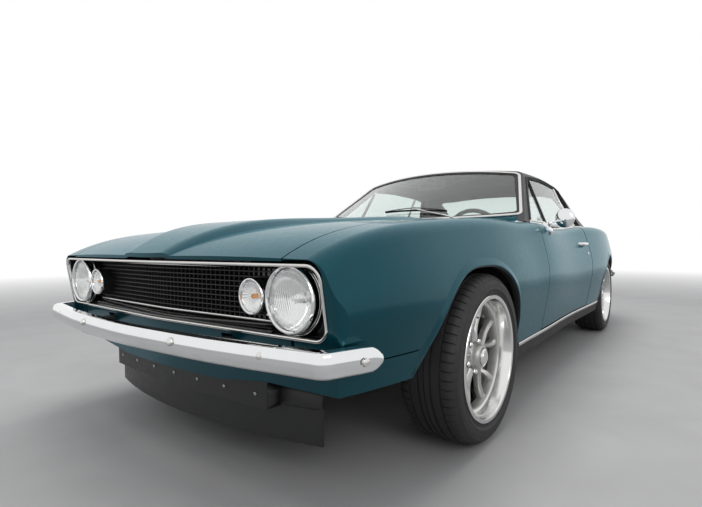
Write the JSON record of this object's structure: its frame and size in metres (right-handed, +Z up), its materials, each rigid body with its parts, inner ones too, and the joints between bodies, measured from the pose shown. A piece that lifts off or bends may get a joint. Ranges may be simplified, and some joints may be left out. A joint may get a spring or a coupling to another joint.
{
  "type": "muscle car",
  "caption": "Two-door hardtop muscle car with a long hood, wide grille, chrome bumpers, opening doors, hood and trunk lid, steered front wheels and a furnished cabin.",
  "frame": {"origin": "on the ground under the middle of the bounding box, in the car's centre plane; the one door mirror moves the box's middle about 25 mm to the left of it", "axes": "+X towards the car's left side, +Y towards its tail, +Z up"},
  "size_m": [1.8924, 4.6983, 1.2883],
  "materials": {
    "body_paint": "deep teal metallic gloss",
    "roof_vinyl": "black grained covering",
    "chrome": "polished chrome",
    "glass": "clear with a slight green tint",
    "lamp_glass": "clear fluted",
    "red_lens": "red moulded lens",
    "black_trim": "satin black",
    "chassis_black": "satin black underside paint",
    "steel": "bare steel",
    "cast_iron": "painted casting",
    "wheel_alloy": "polished lip with satin grey centre",
    "tyre": "black with moulded tread",
    "seat_vinyl": "black upholstery"
  },
  "bodies": {
    "body": {"air_dam": "black_trim", "cowl_panel": "body_paint", "dashboard": "black_trim", "deck_panel": "body_paint", "engine": "cast_iron", "exhaust": "steel", "fenders": "body_paint", "floor_pan": "chassis_black", "front_aprons": "chassis_black", "front_bumper": "chrome", "front_seats": "seat_vinyl", "front_subframe": "chassis_black", "front_valance": "body_paint", "fuel_tank": "chassis_black", "grille": "black_trim", "grille_housing": "black_trim", "grille_trim": "chrome", "headlamps": "lamp_glass", "hinge_pillars": "chassis_black", "parking_lamps": "lamp_glass", "quarter_glass": "glass", "quarter_panels": "body_paint", "radiator": "steel", "rear_axle": "steel", "rear_bumper": "chrome", "rear_seat": "seat_vinyl", "rear_valance": "body_paint", "rear_wheelhouses": "chassis_black", "rear_window": "glass", "roof": "roof_vinyl", "sills": "chassis_black", "tail_lamps": "red_lens", "tail_panel": "body_paint", "windshield": "glass"},
    "hood": {"hood": "body_paint"},
    "trunk_lid": {"trunk_lid": "body_paint"},
    "door_left": {"door_left": "body_paint", "door_glass_left": "glass", "door_mirror": "chrome"},
    "door_right": {"door_right": "body_paint", "door_glass_right": "glass"},
    "steering_left": {"knuckle_left": "cast_iron"},
    "steering_right": {"knuckle_right": "cast_iron"},
    "steering_wheel": {"steering_wheel": "black_trim"},
    "road_wheel_front_left": {"wheel_front_left": "wheel_alloy", "tyre_front_left": "tyre"},
    "road_wheel_front_right": {"wheel_front_right": "wheel_alloy", "tyre_front_right": "tyre"},
    "road_wheel_rear_left": {"wheel_rear_left": "wheel_alloy", "tyre_rear_left": "tyre"},
    "road_wheel_rear_right": {"wheel_rear_right": "wheel_alloy", "tyre_rear_right": "tyre"}
  },
  "joints": [
    {"name": "door_left_swing", "type": "hinge", "parent": "body", "child": "door_left", "pos_m": [0.88, -0.545, 0.6], "axis": [0, 0, -1], "range_deg": [0, 65]},
    {"name": "door_right_swing", "type": "hinge", "parent": "body", "child": "door_right", "pos_m": [-0.88, -0.545, 0.6], "axis": [0, 0, 1], "range_deg": [0, 65]},
    {"name": "hood_lift", "type": "hinge", "parent": "body", "child": "hood", "pos_m": [0, -0.975, 0.882], "axis": [-1, 0, 0], "range_deg": [0, 50]},
    {"name": "trunk_lift", "type": "hinge", "parent": "body", "child": "trunk_lid", "pos_m": [0, 1.54, 0.937], "axis": [1, 0, 0], "range_deg": [0, 65]},
    {"name": "steering_turn", "type": "hinge", "parent": "body", "child": "steering_wheel", "pos_m": [0.39, -0.4, 0.8], "axis": [0, 0.9272, 0.3746], "range_deg": [-480, 480]},
    {"name": "steer_left", "type": "hinge", "parent": "body", "child": "steering_left", "pos_m": [0.69, -1.415, 0.325], "axis": [0, 0, 1], "range_deg": [-30, 30]},
    {"name": "steer_right", "type": "hinge", "parent": "body", "child": "steering_right", "pos_m": [-0.69, -1.415, 0.325], "axis": [0, 0, 1], "range_deg": [-30, 30]},
    {"name": "roll_front_left", "type": "hinge", "parent": "steering_left", "child": "road_wheel_front_left", "pos_m": [0.787, -1.415, 0.325], "axis": [1, 0, 0], "continuous": true},
    {"name": "roll_front_right", "type": "hinge", "parent": "steering_right", "child": "road_wheel_front_right", "pos_m": [-0.787, -1.415, 0.325], "axis": [1, 0, 0], "continuous": true},
    {"name": "roll_rear_left", "type": "hinge", "parent": "body", "child": "road_wheel_rear_left", "pos_m": [0.77, 1.331, 0.325], "axis": [1, 0, 0], "continuous": true},
    {"name": "roll_rear_right", "type": "hinge", "parent": "body", "child": "road_wheel_rear_right", "pos_m": [-0.77, 1.331, 0.325], "axis": [1, 0, 0], "continuous": true}
  ],
  "couplings": [
    {"joint": "steer_left", "follows": "steering_turn", "ratio": 0.0625},
    {"joint": "steer_right", "follows": "steering_turn", "ratio": 0.0625}
  ]
}
